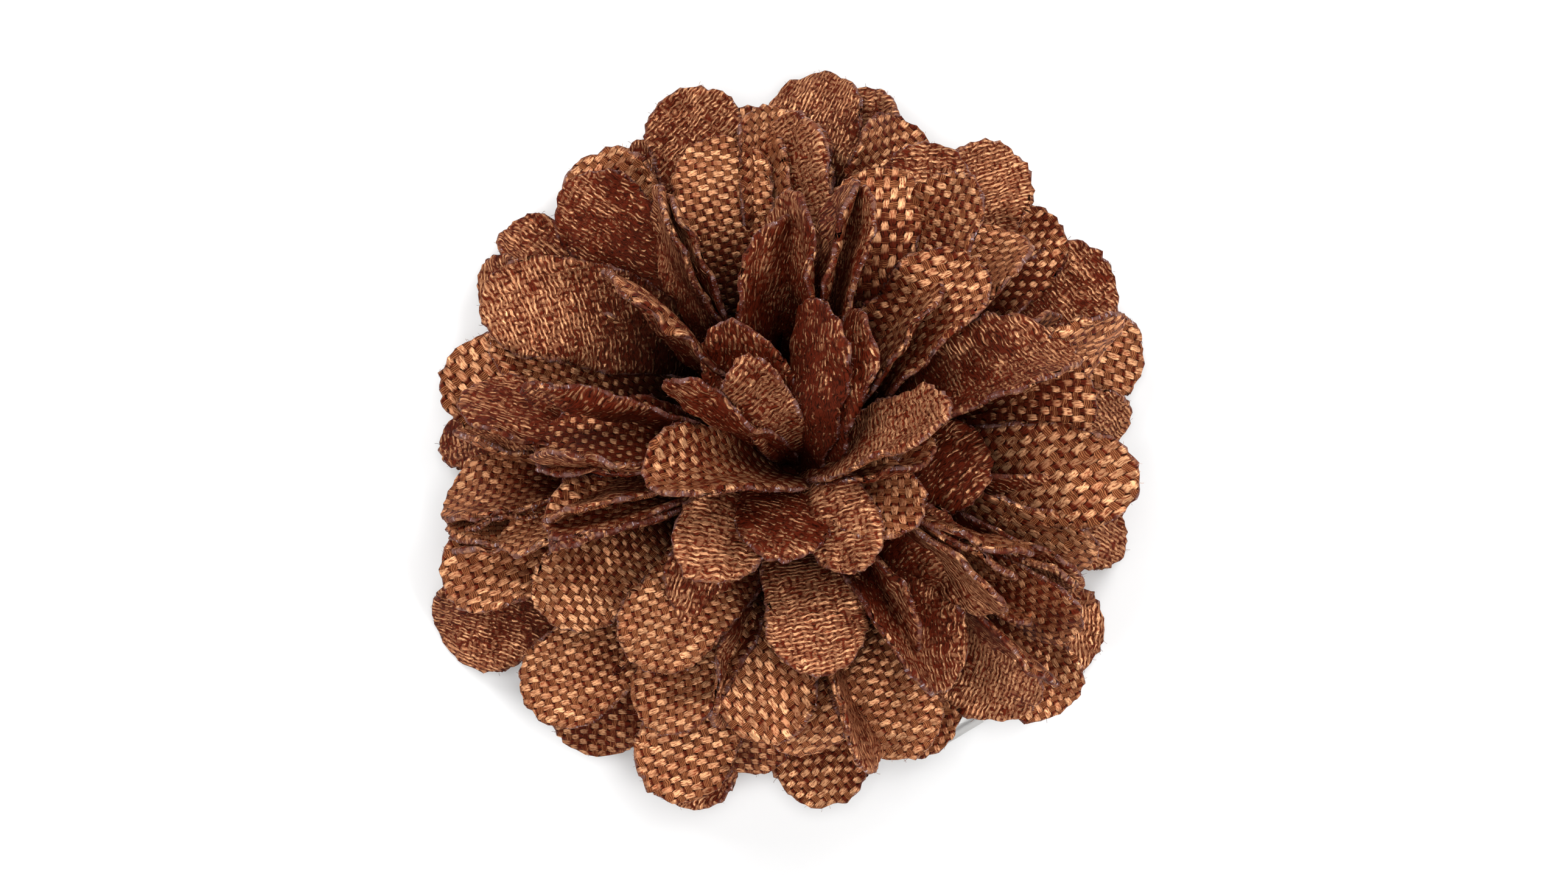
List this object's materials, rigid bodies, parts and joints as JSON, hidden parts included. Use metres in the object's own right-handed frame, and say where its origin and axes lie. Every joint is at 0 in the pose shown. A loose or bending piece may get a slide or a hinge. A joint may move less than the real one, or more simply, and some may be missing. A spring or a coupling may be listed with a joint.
{
  "type": "flower lapel pin",
  "caption": "Round fabric flower of layered, woven petals on a folded metal pin, fastened to a lapel by its needle.",
  "frame": {"origin": "on the surface that the pin lies on, under the middle of the head's outline", "axes": "+Z the way the flower faces, +X the flower's right and +Y its top, as the viewer sees it"},
  "size_m": [0.0456, 0.0478, 0.0246],
  "materials": {
    "petal_cloth": "basket weave of satin copper and gold yarns over dark red-brown, edges sealed in mauve brown, reverse dark red-brown with gold specks",
    "pin_metal": "bright nickel plate with light wear"
  },
  "bodies": {
    "root": {"petals_heart": "petal_cloth", "petals_inner": "petal_cloth", "petals_middle": "petal_cloth", "petals_outer": "petal_cloth", "petals_back": "petal_cloth", "pin": "pin_metal"}
  },
  "joints": []
}
